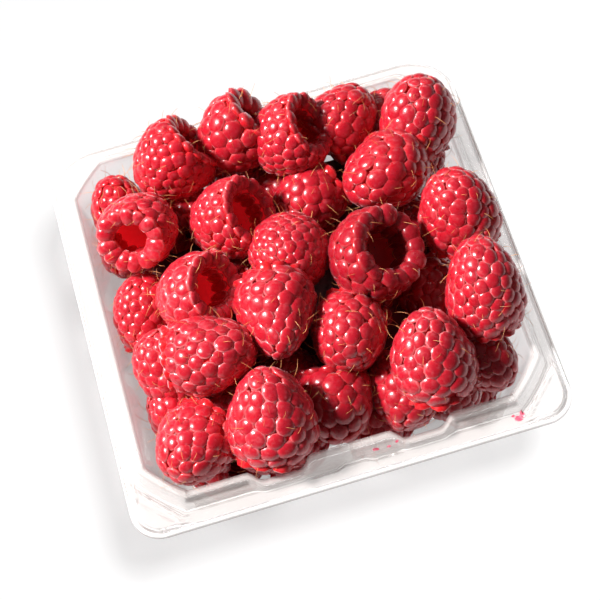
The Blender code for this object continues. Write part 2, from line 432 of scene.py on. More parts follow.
@dataclass(frozen=True)
class DryHair:
    """The styles left on a raspberry: dry golden hairs, browner at root and tip."""

    gold: str = "#F0B070"
    brown: str = "#C87840"

    def make(self) -> bpy.types.Material:
        """Build the material, which reads how far along its hair each point lies."""
        finish = Finish("raspberry_hair")
        along = finish.add("ShaderNodeAttribute", {"attribute_name": "along"})
        colour = finish.ramp(along.outputs["Fac"], (0.0, self.brown), (0.5, self.gold),
                             (1.0, self.brown))
        finish.wire(finish.shader, {"Base Color": colour})
        finish.set({"Roughness": 0.45})
        return finish.material


@dataclass(frozen=True)
class ClearPlastic:
    """Thermoformed clear plastic sheet, glossy on both faces.

    The eye sees through its flat faces and gets a milky grey line where the sheet turns
    away, with small crisp highlights on the rim's bends.  Along the bends a darker grey is
    painted in, painted shade and reflection in place of the dark lines that refraction draws
    there, and the sharpest bends run to near white.
    """

    tint: str = "#C4B8B4"
    light_tint: str = "#D0C6C2"
    milky: str = "#E4DCD8"
    # Painted shade and reflection: the darker grey painted along the bends.
    painted_bend_shade: str = "#8E827E"
    fold: str = "#FAF7F5"
    ior: float = 1.57
    clear: float = 0.13
    edge: float = 0.62
    fold_haze: float = 0.6
    roughness: float = 0.08
    draw_mm: float = 14.0

    def make(self) -> bpy.types.Material:
        """Build the material, more solid at its folds and where the sheet is seen edge on."""
        finish = Finish("clear_thermoformed_plastic")
        turned = finish.add("ShaderNodeLayerWeight", {"Blend": 0.35})
        solid = finish.ranged(turned.outputs["Facing"], self.clear, self.edge, 0.5, 1.0)
        fold = finish.add("ShaderNodeAttribute", {"attribute_name": "fold"}).outputs["Fac"]
        thick = finish.add("ShaderNodeMath",
                           {"operation": "MULTIPLY_ADD", 1: self.fold_haze, "use_clamp": True},
                           {0: fold, 2: solid})
        colour = finish.ramp(finish.noise(self.draw_mm), (0.3, self.tint), (0.7, self.light_tint))
        # Painted shade and reflection: the middling bends are painted a darker grey in place of the dark
        # lines that refraction and reflections draw along the rim; the sharpest bends run to near white.
        line = finish.ramp(fold, (0.0, self.milky), (0.35, self.milky), (0.55, self.painted_bend_shade),
                           (0.8, self.fold))
        colour = finish.tinted(colour, line, fold, 1.0, 0.0, 0.3)
        gloss = finish.ranged(finish.noise(self.draw_mm / 3), self.roughness - 0.04,
                              self.roughness + 0.06)
        finish.wire(finish.shader, {"Alpha": thick.outputs[0], "Base Color": colour,
                                    "Roughness": gloss})
        finish.set({"IOR": self.ior, "Specular IOR Level": 0.9, "Coat Weight": 0.6,
                    "Coat Roughness": 0.05})
        finish.bump(self.draw_mm / 2, 0.2, 0.3, 1.0)
        return finish.material


@dataclass(frozen=True)
class Juice:
    """A dried smear of raspberry juice, thin and glossy.

    The eye gets a pink stain that is stronger where the juice dried thick.
    """

    thin: str = "#F08A9C"
    thick: str = "#EA3A62"

    def make(self) -> bpy.types.Material:
        """Build the material."""
        finish = Finish("raspberry_juice")
        colour = finish.ramp(finish.noise(0.8), (0.35, self.thin), (0.65, self.thick))
        finish.wire(finish.shader, {"Base Color": colour})
        finish.set({"Roughness": 0.2, "Alpha": 0.85})
        return finish.material


# ---------------------------------------------------------------------------
# The punnet
# ---------------------------------------------------------------------------

@dataclass(frozen=True)
class Level:
    """One level of the sheet, in millimetres: its height and how far in it runs.

    Its corners reach leg and back_leg along the sides, and go from a chamfer at a rounding
    of 0 to an arc at 1.  The vent notches push its front run out by the notch and down by
    the dip.
    """

    z: float
    side: float
    front: float
    back: float
    leg: float
    back_leg: float
    rounding: float
    notch: float = 0.0
    dip: float = 0.0


@dataclass
class Punnet:
    """The clear punnet: flange, raised rim, leaning walls and ribbed floor."""

    flange_z: float = FLANGE_TOP / MM
    sheet: float = 0.6
    front_corner: float = 8.5
    back_corner: float = 14.0
    notch_x: float = 19.5
    notch_half: float = 6.8
    notch_slope: float = 4.4
    pad_inset: float = 1.3
    pad_far_side: float = 18.6
    pad_rise: float = 0.8
    pad_slope: float = 1.2
    slot_in: float = 2.6
    slot_depth: float = 0.55
    bead_in: float = 1.0
    bead_depth: float = 0.3
    tab_x: float = 8.0
    tab_half: float = 4.0
    groove_x: float = 37.0
    groove_half: float = 9.0
    groove_depth: float = 0.8
    tab_depth: float = 0.9
    inner_chamfer: float = 9.0
    flange_haze: float = 0.25
    corner_steps: int = 18
    side_steps: int = 40
    front_reach: int = 45
    flange_rings: int = 22
    size: tuple[float, float, float] = field(init=False)

    def __post_init__(self) -> None:
        """Read the punnet's own size from the frame."""
        low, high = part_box("punnet")
        self.size = tuple((high[i] - low[i]) / MM for i in range(3))

    def levels(self) -> list[Level]:
        """The upper and inner face of the sheet, from the flange's lip to the floor."""
        top = self.size[2]
        edge = (self.front_corner, self.back_corner, 1.0)
        z = self.flange_z
        return [
            Level(z - 1.4, 0.0, 0.0, 0.0, *edge),
            Level(z - 0.4, 0.15, 0.15, 0.15, *edge),
            Level(z, 0.6, 0.6, 0.6, *edge),
            Level(z, 3.8, 5.0, 3.6, 11.0, 11.0, 0.15, 1.1),
            Level(top - 0.7, 4.8, 6.9, 4.6, 10.5, 10.5, 0.15, 2.6, 0.8),
            Level(top, 5.6, 7.7, 5.4, 10.0, 10.0, 0.15, 2.9, 0.8),
            Level(top, 6.9, 9.1, 6.6, 9.5, 9.5, 0.15, 3.0, 0.8),
            Level(top - 0.8, 7.6, 9.9, 7.2, 9.0, 9.0, 0.15, 3.0, 0.8),
            Level(34.0, 8.2, 10.5, 7.8, 9.0, 9.0, 0.2, 2.6),
            Level(27.0, 9.1, 11.3, 8.8, 9.0, 9.0, 0.35, 1.0),
            Level(20.0, 10.0, 12.1, 9.8, 9.0, 9.0, 0.5),
            Level(6.0, 11.9, 13.9, 11.7, 9.0, 9.0, 0.8),
            Level(2.4, 13.0, 15.0, 12.8, 9.0, 9.0, 1.0),
            Level(1.0, 14.6, 16.6, 14.4, 9.0, 9.0, 1.0),
            Level(self.sheet, 16.6, 18.6, 16.4, 9.0, 9.0, 1.0),
            Level(self.sheet, 19.0, 21.0, 18.8, 8.0, 8.0, 1.0),
            Level(self.sheet + 1.0, 20.2, 22.2, 20.0, 8.0, 8.0, 1.0),
            Level(self.sheet + 1.0, 22.2, 24.2, 22.0, 7.0, 7.0, 1.0),
            Level(self.sheet, 23.4, 25.4, 23.2, 7.0, 7.0, 1.0),
            Level(self.sheet, 27.0, 29.0, 27.0, 6.0, 6.0, 1.0),
        ]

    def fine_levels(self) -> np.ndarray:
        """All levels as rows, with the flange in many rings and the bends rounded."""
        rows = np.array([astuple(level) for level in self.levels()])
        lip, rest = rows[:3], rows[3:]
        steps = np.linspace(0.0, 1.0, self.flange_rings + 1)[1:-1, None]
        across = lip[2] + (rest[0] - lip[2]) * steps
        rings = np.concatenate([lip, across, cut_corners(rest, 2)])
        way = np.diff(rings[:, (0, 2)], axis=0)
        slope = np.unwrap(np.arctan2(way[:, 0], way[:, 1]))
        bend = np.abs(np.diff(slope)) / np.maximum(np.hypot(*way[1:].T), 0.15)
        # The flange's outer edge is given a middling bend, so the plastic paints its darker line, a
        # painted shade, along it.
        fold = np.concatenate([[0.5], np.clip(bend / 1.6, 0, 1), [0.0]])
        return np.column_stack([rings, fold])

    def outline(self, row: np.ndarray) -> np.ndarray:
        """The closed outline of one level, anticlockwise from the front left corner.

        Args:
            row: A level's numbers, as in Level.

        Returns:
            Its points in millimetres, one a row.
        """
        z, side, front_in, back_in, leg, back_leg, rounding, notch, dip, fold = row
        half_x, half_y = self.size[0] / 2, self.size[1] / 2
        left, right = -half_x + side, half_x - side
        front, back = -half_y + front_in, half_y - back_in
        t = np.linspace(0.0, 1.0, self.corner_steps + 1)[:, None]
        turn = t * math.pi / 2

        def corner(x: float, y: float, before: tuple, after: tuple, reach: float) -> np.ndarray:
            """Points round one corner, from one side to the next."""
            here, back_dir, on_dir = np.array((x, y)), np.array(before), np.array(after)
            arc = here + (back_dir + on_dir) * reach
            arc = arc - on_dir * reach * np.cos(turn) - back_dir * reach * np.sin(turn)
            chamfer = here + back_dir * reach * (1 - t) + on_dir * reach * t
            return chamfer + (arc - chamfer) * rounding

        def run(start: np.ndarray, end: np.ndarray) -> np.ndarray:
            """Even points between two corners."""
            steps = np.linspace(0.0, 1.0, self.side_steps + 1)[1:-1, None]
            return start + (end - start) * steps

        east, west, north, south = (1, 0), (-1, 0), (0, 1), (0, -1)
        corners = [corner(left, front, north, east, leg), corner(right, front, west, north, leg),
                   corner(right, back, south, west, back_leg), corner(left, back, east, south, back_leg)]
        stations = np.arange(-self.front_reach, self.front_reach + 1.0)
        front_run = np.stack([stations, np.full_like(stations, front)], axis=1)
        points = np.concatenate([
            corners[0], front_run, corners[1], run(corners[1][-1], corners[2][0]),
            corners[2], run(corners[2][-1], corners[3][0]),
            corners[3], run(corners[3][-1], corners[0][0])])
        on_front = np.abs(points[:, 1] - front) < 1e-6
        share = self.notch_share(points[:, 0]) * on_front
        points[:, 1] -= notch * share
        heights = z - dip * share
        return self.relief(np.column_stack([points, heights]), front_in, fold)

    def notch_share(self, x: np.ndarray) -> np.ndarray:
        """1 in a vent notch of the front rim, 0 outside."""
        return window(np.abs(x), self.notch_x, self.notch_half, self.notch_slope)

    def relief(self, points: np.ndarray, front_in: float, fold: float) -> np.ndarray:
        """Press the pads, the edge bead, the rim's grooves and its tabs into a ring.

        Args:
            points: The ring's points in millimetres.
            front_in: How far in the ring's front run lies.
            fold: How sharply the sheet bends at this ring, from 0 to 1.

        Returns:
            The same points, moved, with how sharply the sheet bends at each.
        """
        x, y, z = points.T
        in_x = self.size[0] / 2 - np.abs(x)
        in_y = self.size[1] / 2 + y
        corner = self.front_corner
        rounded = corner - np.hypot(corner - in_x, corner - in_y)
        from_edge = np.where((in_x < corner) & (in_y < corner), rounded, np.minimum(in_x, in_y))
        from_far = (self.pad_far_side - in_x - in_y) / math.sqrt(2)
        inside = np.minimum(from_edge - self.pad_inset, from_far)
        inside = inside - 0.35 * np.exp(-np.abs(from_edge - self.pad_inset - from_far))
        flat = np.abs(z - self.flange_z) < 0.02
        share = smooth_step(inside / self.pad_slope)
        slot = window(from_far, self.slot_in, 0.7, 0.9) * smooth_step((inside - self.pad_slope) / 0.8)
        bead = -self.bead_depth * window(from_edge, self.bead_in, 0.35, 0.6) * (1 - share) ** 3
        lift = flat * (self.pad_rise * share - self.slot_depth * slot + bead)
        on_slope = (z > self.flange_z + 0.4) & (z < self.size[2] - 0.2) & (front_in < 7.6)
        groove = window(np.abs(x), self.groove_x, self.groove_half, 1.6)
        groove = groove * window(z, self.flange_z + 2.0, 0.9, 1.0) * on_slope * (y < 0)
        tab = window(np.abs(x), self.tab_x, self.tab_half, 1.0) * (y < 0)
        low = (z > self.flange_z - 0.01) & (z < self.flange_z + 1.5) & (front_in > 4.2) & (front_in < 6.6)
        # The pads' edges, the bead, the slot and the rim's grooves count as bends, which the plastic
        # paints as darker lines, painted shade and reflection, that run to near white where strongest.
        line = flat * np.clip(3.6 * share * (1 - share) - 2.6 * bead + slot * (1 - slot) * 2, 0, 1)
        folds = np.maximum(fold, np.maximum(line, groove * 0.6))
        folds = np.maximum(folds, self.flange_haze * (z > self.flange_z - 2) * (front_in < 6.6))
        pressed = y + self.groove_depth * groove - self.tab_depth * tab * low
        return np.column_stack([x, pressed, z + lift, folds])

    def build(self) -> bpy.types.Object:
        """Extrude the sheet ring by ring, close its floor and give it its thickness."""
        laid = [self.outline(row) for row in self.fine_levels()]
        rings = [ring[:, :3] * MM for ring in laid]
        count = len(rings[0])
        deselect()
        bpy.ops.mesh.primitive_circle_add(vertices=count, radius=0.05)
        obj = named("punnet_sheet")
        write_points(obj.data, rings[0])
        bpy.ops.object.mode_set(mode="EDIT")
        bpy.ops.mesh.select_mode(type="VERT")
        bpy.ops.mesh.select_all(action="SELECT")
        for ring in rings[1:]:
            bpy.ops.mesh.extrude_region_move()
            self.lay_ring(obj, ring)
        bpy.ops.mesh.edge_face_add()
        bpy.ops.object.mode_set(mode="OBJECT")
        fold = obj.data.attributes.new("fold", "FLOAT", "POINT")
        fold.data.foreach_set("value", np.concatenate([ring[:, 3] for ring in laid]))
        bpy.ops.object.mode_set(mode="EDIT")
        bpy.ops.mesh.select_all(action="SELECT")
        bpy.ops.mesh.remove_doubles(threshold=1e-6)
        bpy.ops.mesh.normals_make_consistent(inside=False)
        bpy.ops.object.mode_set(mode="OBJECT")
        if self.floor_looks_down(obj):
            obj.data.flip_normals()
        self.thicken(obj)
        smooth_shaded(obj, 50.0)
        return obj

    def lay_ring(self, obj: bpy.types.Object, ring: np.ndarray) -> None:
        """Place the ring just extruded, in its own order round the outline."""
        mesh = bmesh.from_edit_mesh(obj.data)
        mesh.verts.ensure_lookup_table()
        fresh = [vert for vert in mesh.verts if vert.select]
        for vert, place in zip(fresh, ring):
            vert.co = place
        bmesh.update_edit_mesh(obj.data)

    def floor_looks_down(self, obj: bpy.types.Object) -> bool:
        """True if the floor's upper face points down."""
        largest = max(obj.data.polygons, key=lambda face: face.area)
        return largest.normal.z < 0

    def thicken(self, obj: bpy.types.Object) -> None:
        """Give the sheet its thickness on the outer side."""
        modifier = obj.modifiers.new("sheet", "SOLIDIFY")
        modifier.thickness = self.sheet * MM
        modifier.offset = -1.0
        modifier.use_even_offset = False
        bpy.context.view_layer.objects.active = obj
        bpy.ops.object.modifier_apply(modifier=modifier.name)

    def hold(self, points: np.ndarray, gap: float = 0.25) -> np.ndarray:
        """Press points that would cut the wall or the floor back to the punnet's inside.

        Args:
            points: Points in millimetres.
            gap: How far from the sheet they stay, in millimetres.

        Returns:
            The points, with those beyond the wall laid against it.
        """
        inner = self.levels()[7:15][::-1]
        heights = np.array([level.z for level in inner])
        x, y, z = points[:, 0].copy(), points[:, 1].copy(), points[:, 2].copy()

        def at(values: Callable[[Level], float]) -> np.ndarray:
            """A size of the inside at each point's height."""
            return np.interp(z, heights, [values(level) for level in inner])

        below = z < self.size[2] + 0.1
        reach_x = self.size[0] / 2 - at(lambda level: level.side) - gap
        reach_front = self.size[1] / 2 - at(lambda level: level.front) - gap
        reach_back = self.size[1] / 2 - at(lambda level: level.back) - gap
        z = np.maximum(z, self.sheet + 1.0 + gap)
        x = np.where(below, np.clip(x, -reach_x, reach_x), x)
        y = np.where(below, np.clip(y, -reach_front, reach_back), y)
        reach_y = np.where(y < 0, reach_front, reach_back)
        leg = self.inner_chamfer
        cut = leg * (2 - math.sqrt(2) * at(lambda level: level.rounding) * 0.41)
        past = np.abs(x) + np.abs(y) - (reach_x + reach_y - cut + leg)
        step = np.where(below, np.maximum(past, 0.0) / 2, 0.0)
        return np.column_stack([x - np.sign(x) * step, y - np.sign(y) * step, z])


@dataclass(frozen=True)
class Smear:
    """One dried spot of juice: its middle, width and depth in millimetres."""

    x: float
    y: float
    wide: float
    deep: float


@dataclass
class JuiceStains:
    """Dried juice on the flange and on the rim, laid on the sheet's own surface."""

    sheet: bpy.types.Object
    smears: tuple[Smear, ...] = (
        Smear(44.8, -55.6, 2.2, 1.6), Smear(46.0, -54.9, 1.2, 2.0), Smear(43.6, -54.6, 0.9, 0.7),
        Smear(6.0, -53.1, 1.8, 0.6), Smear(9.6, -53.3, 1.1, 0.5), Smear(12.0, -52.9, 0.8, 0.5))
    film: float = 0.05

    def build(self) -> bpy.types.Object:
        """Make each spot from a disc, ragged at its edge, and join them."""
        rng = np.random.default_rng(3)
        spots = [self.spot(smear, rng) for smear in self.smears]
        deselect()
        for spot in spots:
            spot.select_set(True)
        bpy.context.view_layer.objects.active = spots[0]
        bpy.ops.object.join()
        stains = named("juice_stains")
        smooth_shaded(stains, 40.0)
        return stains

    def spot(self, smear: Smear, rng: np.random.Generator) -> bpy.types.Object:
        """Lay one ragged disc on the sheet and give it the thickness of its film."""
        deselect()
        bpy.ops.mesh.primitive_circle_add(vertices=22, radius=0.5, fill_type="TRIFAN")
        spot = named("juice_spot")
        points = read_points(spot.data)
        ragged = 1 + 0.28 * rng.uniform(-1, 1, len(points))
        flat = points[:, :2] * ragged[:, None] * (smear.wide, smear.deep) + (smear.x, smear.y)
        laid = []
        for x, y in flat * MM:
            hit, place, normal, _ = self.sheet.ray_cast(Vector((x, y, 0.1)), Vector((0, 0, -1)))
            laid.append(place + normal * self.film * MM if hit else Vector((x, y, FLANGE_TOP)))
        write_points(spot.data, np.array(laid))
        modifier = spot.modifiers.new("film", "SOLIDIFY")
        modifier.thickness = self.film * MM * 0.8
        modifier.offset = -1.0
        bpy.ops.object.modifier_apply(modifier=modifier.name)
        return spot


# ---------------------------------------------------------------------------
# The raspberries
# ---------------------------------------------------------------------------

@dataclass(frozen=True)
class Berry:
    """One raspberry: its middle and sizes in millimetres, its turn in degrees.

    The ripeness is how dark it is and the bloom how downy, from 0 to 1; a downy berry also
    gets a painted sheen, pale pink, round its drupelets' rims.  The taper narrows it towards
    its tip, and the gape is how much wider than usual its hollow opens, in drupelets.
    """

    x: float
    y: float
    z: float
    length: float
    width: float
    heading: float
    rise: float
    drupelet: float = 4.0
    ripeness: float = 0.2
    bloom: float = 0.4
    taper: float = 0.2
    gape: float = 0.0


# The upper layers, as laid out in the solid model, from the back row to the front row;
# the last three berries fill gaps between the layers.
UPPER_BERRIES = (
    Berry(-25, 42, 46, 22, 22, -162, -30, 3.6, 0.15, 0.15),
    Berry(-6, 44.5, 46, 21, 21, -165, -36, 4.6, 0.25, 0.35),
    Berry(8, 39, 47, 22, 22, 168, -40, 3.5, 0.15, 0.45, 0.2, 0.15),
    Berry(26, 43, 42, 21, 19, 30, 10, 4.0, 0.35, 0.2),
    Berry(38, 44, 33, 19, 18, 30, 35, 3.6, 0.35, 0.2),
    Berry(46, 35, 47, 23, 21, 65, 58, 4.2, 0.2, 0.6),
    Berry(-43, 41, 33, 18, 17, 90, 50, 3.8, 0.2, 0.1),
    Berry(-7, 42, 29, 20, 20, -140, 20, 4.4, 0.6, 0.2),
    Berry(43, 31, 31, 20, 19, -65, -10, 3.8, 0.6, 0.2),
    Berry(-43, 30, 29, 20, 18, -140, -15, 4.2, 0.25, 0.3),
    Berry(-38, 25, 46, 21, 21, 62, -42, 3.9, 0.0, 0.45, 0.2, 0.06),
    Berry(4, 32, 28, 20, 20, -70, 15, 4.4, 0.6, 0.25),
    Berry(31, 20.5, 46, 24, 22, -150, 20, 4.8, 0.3, 0.3),
    Berry(-14, 20, 45, 22, 22, 160, -42, 3.7, 0.1, 0.5, 0.2, 0.22),
    Berry(9, 23, 38, 20, 19, -155, -5, 4.4, 0.35, 0.3),
    Berry(47, 3, 47, 24, 21, 95, 56, 4.0, 0.2, 0.5),
    Berry(-43, 6, 34, 21, 18, 80, 45, 3.5, 0.15, 0.2),
    Berry(-29, 1.2, 46, 22, 21.5, 155, -44, 4.0, 0.05, 0.85, 0.2, 0.22),
    Berry(-1, 3.8, 47, 20, 22, -110, 45, 3.2, 0.15, 0.6),
    Berry(20, -3, 46, 22, 25, 158, -55, 4.8, 0.62, 0.3, 0.2, 0.2),
    Berry(-41, -12, 35, 21, 19, 115, 40, 3.8, 0.1, 0.6),
    Berry(-9, -13.8, 49, 24.5, 18.5, -98, 10, 3.9, 0.15, 0.7, 1.6),
    Berry(35, -13, 29, 21, 20, -85, 20, 4.2, 0.55, 0.2),
    Berry(46, -22, 49, 27.5, 20.5, 85, 48, 3.8, 0.15, 0.7),
    Berry(-28.5, -18, 48, 24.5, 21, -15, 14, 4.1, 0.1, 0.85),
    Berry(-42, -24, 28, 20, 18, 125, 40, 3.4, 0.2, 0.3),
    Berry(-27, -25, 29, 20, 20, 20, 30, 4.0, 0.2, 0.5),
    Berry(-11, -26, 31, 21, 20, 35, 35, 4.2, 0.4, 0.3),
    Berry(8, -22.5, 44, 20, 21, -110, 30, 4.1, 0.25, 0.4),
    Berry(27, -35, 47, 25, 20, 95, 50, 4.1, 0.2, 0.7, 0.9),
    Berry(-40, -38.3, 39, 21, 20, -135, 10, 4.1, 0.1, 0.6),
    Berry(-18, -38, 46, 26, 21.5, 75, 52, 4.3, 0.1, 0.8, 1.0),
    Berry(0, -37, 34, 21, 20, -100, -15, 4.8, 0.5, 0.2),
    Berry(19, -38.5, 32, 21, 20, -95, 5, 4.2, 0.45, 0.3),
    Berry(31, -38.5, 26, 20, 19, -85, 25, 4.0, 0.6, 0.3),
    Berry(42, -36, 34, 20, 18, -65, 0, 3.7, 0.35, 0.4),
    Berry(-25, 33, 31, 20, 19, 100, -20, 4.0, 0.45, 0.3),
    Berry(-22, -37, 25, 20, 19, -80, 10, 4.0, 0.35, 0.4),
    Berry(9, -40, 22, 20, 19, -100, 0, 4.2, 0.5, 0.3),
)


@dataclass
class DrupeletForm:
    """The unit drupelet that every berry is set with: a dome on a short root."""

    segments: int = 10
    rings: int = 10
    power: float = 2.3

    def model(self) -> tuple[np.ndarray, Faces]:
        """Model the dome and return its points and faces.

        Returns:
            Points with +Z out of the berry, and the faces that join them.
        """
        deselect()
        bpy.ops.mesh.primitive_uv_sphere_add(segments=self.segments, ring_count=self.rings, radius=1.0)
        obj = named("drupelet_form")
        bpy.ops.object.mode_set(mode="EDIT")
        mesh = bmesh.from_edit_mesh(obj.data)
        for vert in mesh.verts:
            vert.select = vert.co.z < 0.2
        mesh.select_flush(True)
        bmesh.update_edit_mesh(obj.data)
        bpy.ops.mesh.merge(type="CENTER")
        bpy.ops.object.mode_set(mode="OBJECT")
        points, faces = take_apart(obj)
        across = np.hypot(points[:, 0], points[:, 1])
        fullness = (across ** self.power + np.abs(points[:, 2]) ** self.power) ** (1 / self.power)
        return points / np.where(points[:, 2] > 0, fullness, 1.0)[:, None], faces


@dataclass
class CupForm:
    """The hollow body that the drupelets sit on, open at its base like a thimble."""

    segments: int = 40
    outside: tuple[tuple[float, float], ...] = (
        (0.10, 0.43), (0.21, 0.395), (0.32, 0.29), (0.395, 0.15), (0.43, 0.0), (0.435, -0.15),
        (0.41, -0.29), (0.37, -0.40), (0.315, -0.425))
    inside: tuple[tuple[float, float], ...] = (
        (0.300, -0.40), (0.296, -0.30), (0.290, -0.20), (0.280, -0.10), (0.262, 0.0), (0.23, 0.07),
        (0.18, 0.12), (0.11, 0.15), (0.04, 0.16))

    def profile(self) -> list[tuple[float, float, float]]:
        """Radius, height and how near the lip inside, for a body of width 1 and length 1."""
        steps = [(radius, height, 0.0) for radius, height in self.outside]
        count = len(self.inside)
        steps += [(radius, height, 1 - step / count)
                  for step, (radius, height) in enumerate(self.inside)]
        return steps

    def model(self) -> tuple[np.ndarray, Faces, np.ndarray]:
        """Extrude the body from a circle and return its points, faces and depths.

        Returns:
            Points of the unit body, its faces, and for each point how near the lip it is
            inside the hollow, or 0 on the outside.
        """
        steps = self.profile()
        deselect()
        bpy.ops.mesh.primitive_circle_add(vertices=self.segments, radius=steps[0][0],
                                          location=(0, 0, steps[0][1]))
        obj = named("cup_form")
        bpy.ops.object.transform_apply(location=True, rotation=True, scale=True)
        bpy.ops.object.mode_set(mode="EDIT")
        bpy.ops.mesh.select_all(action="SELECT")
        for (radius, height, _), (next_radius, next_height, _) in zip(steps, steps[1:]):
            bpy.ops.mesh.extrude_edges_move()
            bpy.ops.transform.translate(value=(0, 0, next_height - height))
            ratio = next_radius / radius
            bpy.ops.transform.resize(value=(ratio, ratio, 1), center_override=(0, 0, next_height))
        bpy.ops.mesh.edge_face_add()
        bpy.ops.mesh.select_all(action="DESELECT")
        bpy.ops.mesh.select_non_manifold()
        bpy.ops.mesh.edge_face_add()
        bpy.ops.mesh.select_all(action="SELECT")
        bpy.ops.mesh.normals_make_consistent(inside=False)
        bpy.ops.object.mode_set(mode="OBJECT")
        points, faces = take_apart(obj)
        depth = np.repeat([step[2] for step in steps], self.segments)
        turn = np.arctan2(points[:, 1], points[:, 0])
        inside = depth > 0
        fade = np.clip(depth * 2 - 0.7, 0, 1) * (inside & (depth < 0.97))
        ripple = 1 + 0.012 * np.cos(turn * 10) * fade
        points[:, :2] *= ripple[:, None]
        return points, faces, np.where(inside, np.maximum(depth, 0.05), 0.0)


@dataclass
class BerryProfile:
    """The path that the drupelets' middles follow, from the tip to the lip."""

    length: float
    width: float
    drupelet: float
    flatten: float = 0.40
    end: float = -0.72
    outside: tuple[tuple[float, float], ...] = (
        (1.0, 0.0), (1.01, 0.26), (0.90, 0.52), (0.66, 0.75), (0.36, 0.92), (0.0, 1.02),
        (-0.35, 1.03), (-0.65, 0.95), (-0.90, 0.80))

    def path(self) -> tuple[np.ndarray, np.ndarray]:
        """The outer path.

        Returns:
            Radius and height of the drupelets' middles, and the outward directions there.
        """
        envelope = cut_corners(np.array(self.outside)[:, ::-1], 4)
        envelope = envelope[envelope[:, 1] > self.end]
        envelope = envelope * np.array((self.width / 2, self.length / 2))
        along = np.gradient(envelope, axis=0)
        outward = np.column_stack([-along[:, 1], along[:, 0]])
        outward /= np.linalg.norm(outward, axis=1)[:, None]
        outward[0] = (0.0, 1.0)
        middles = envelope - outward * self.flatten * self.drupelet
        middles[:, 0] = np.maximum(middles[:, 0], 0.0)
        return middles, outward


@dataclass
class Setting:
    """Where one drupelet sits on its berry."""

    middle: np.ndarray
    outward: np.ndarray
    along: np.ndarray
    around: np.ndarray
    half_along: float
    half_around: float
    half_out: float


GOLDEN_ANGLE = 137.508
HEXAGON_SHARE = 0.866


